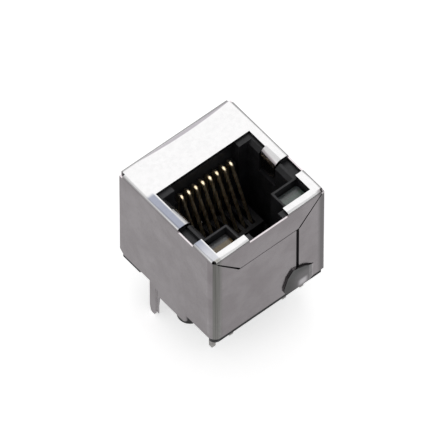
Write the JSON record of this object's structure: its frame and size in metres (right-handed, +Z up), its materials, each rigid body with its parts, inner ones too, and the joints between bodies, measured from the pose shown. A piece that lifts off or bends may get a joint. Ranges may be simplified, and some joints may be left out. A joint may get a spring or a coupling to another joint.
{
  "type": "shielded modular jack",
  "caption": "Shielded top-entry network jack for circuit boards: folded metal shell, black housing, spring contacts, two indicator lights, built-in transformer coils, locating pegs and solder pins.",
  "frame": {"origin": "centre of the footprint, on the plane of the circuit board that the jack's feet stand on", "axes": "+Z up out of the board, the way the plug is pulled out; -Y towards the latch side with the two indicators; +Y towards the contacts; +X across the width"},
  "size_m": [0.016, 0.0168, 0.0204],
  "materials": {
    "shield_sheet": "satin tin plate",
    "housing_plastic": "matt moulded",
    "insert_plastic": "matt moulded",
    "contact_gold": "bright gold plate",
    "pin_tin": "bright tin plate",
    "board_laminate": "varnished laminate",
    "led_amber": "clear tinted resin",
    "led_green": "clear tinted resin",
    "ferrite": "coated ferrite",
    "winding_enamel": "enamelled copper",
    "ceramic": "bare ceramic",
    "resistor_coat": "matt coat"
  },
  "bodies": {
    "root": {"shield": "shield_sheet", "housing": "housing_plastic", "contact_carrier": "insert_plastic", "pin_block": "insert_plastic", "magnetics_board": "board_laminate", "ground_capacitor": "ceramic", "led_left": "led_amber", "led_right": "led_green", "led_lead_1": "pin_tin", "led_lead_2": "pin_tin", "led_lead_3": "pin_tin", "led_lead_4": "pin_tin", "contact_1": "contact_gold", "contact_2": "contact_gold", "contact_3": "contact_gold", "contact_4": "contact_gold", "contact_5": "contact_gold", "contact_6": "contact_gold", "contact_7": "contact_gold", "contact_8": "contact_gold", "signal_pin_1": "pin_tin", "signal_pin_2": "pin_tin", "signal_pin_3": "pin_tin", "signal_pin_4": "pin_tin", "signal_pin_5": "pin_tin", "signal_pin_6": "pin_tin", "signal_pin_7": "pin_tin", "signal_pin_8": "pin_tin", "toroid_core_1": "ferrite", "toroid_core_2": "ferrite", "toroid_core_3": "ferrite", "toroid_core_4": "ferrite", "winding_1": "winding_enamel", "winding_2": "winding_enamel", "winding_3": "winding_enamel", "winding_4": "winding_enamel", "termination_resistor_1": "resistor_coat", "termination_resistor_2": "resistor_coat", "termination_resistor_3": "resistor_coat", "termination_resistor_4": "resistor_coat"}
  },
  "joints": []
}
